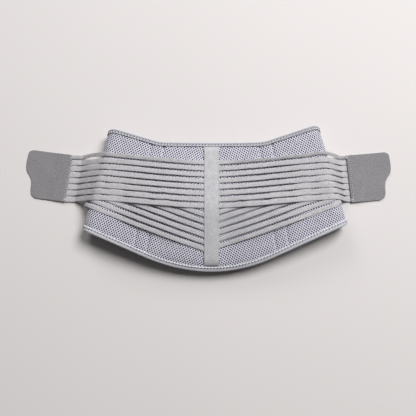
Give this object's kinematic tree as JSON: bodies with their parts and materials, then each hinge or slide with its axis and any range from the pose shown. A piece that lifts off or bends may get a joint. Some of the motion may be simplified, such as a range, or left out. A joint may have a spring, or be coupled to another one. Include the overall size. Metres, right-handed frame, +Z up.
{
  "type": "back support",
  "caption": "Lumbar support belt of padded knit mesh, closed in a flattened loop, with elastic straps fanning from a centre tape to felt pull tabs.",
  "frame": {"origin": "on the underside of the front flap, which lies on the floor, below the centre tape and about half way up the belt", "axes": "+X along the belt from tab to tab, +Y towards the belt's upper edge, +Z up from the floor to the belt's back panel"},
  "size_m": [0.698, 0.2744, 0.0492],
  "materials": {
    "knit_mesh": "lilac-grey open knit mesh",
    "binding_tape": "pale grey folded tape, stitched",
    "centre_tape": "pale grey brushed tape",
    "strap_elastic": "pale grey woven elastic",
    "tab_felt": "mid grey felted loop cloth",
    "hook_patch": "dark grey hook tape"
  },
  "bodies": {
    "root": {"belt_left": "knit_mesh", "belt_right": "knit_mesh", "top_binding": "binding_tape", "bottom_binding": "binding_tape", "closure_patch": "hook_patch", "centre_strip": "centre_tape", "upper_strap_left_1": "strap_elastic", "upper_strap_left_2": "strap_elastic", "upper_strap_left_3": "strap_elastic", "upper_strap_left_4": "strap_elastic", "upper_strap_left_5": "strap_elastic", "upper_strap_left_6": "strap_elastic", "upper_strap_left_7": "strap_elastic", "upper_strap_left_8": "strap_elastic", "upper_strap_right_1": "strap_elastic", "upper_strap_right_2": "strap_elastic", "upper_strap_right_3": "strap_elastic", "upper_strap_right_4": "strap_elastic", "upper_strap_right_5": "strap_elastic", "upper_strap_right_6": "strap_elastic", "upper_strap_right_7": "strap_elastic", "upper_strap_right_8": "strap_elastic", "lower_strap_left_1": "strap_elastic", "lower_strap_left_2": "strap_elastic", "lower_strap_left_3": "strap_elastic", "lower_strap_left_4": "strap_elastic", "lower_strap_left_5": "strap_elastic", "lower_strap_left_6": "strap_elastic", "lower_strap_right_1": "strap_elastic", "lower_strap_right_2": "strap_elastic", "lower_strap_right_3": "strap_elastic", "lower_strap_right_4": "strap_elastic", "lower_strap_right_5": "strap_elastic", "lower_strap_right_6": "strap_elastic", "tab_left": "tab_felt", "tab_right": "tab_felt"}
  },
  "joints": []
}
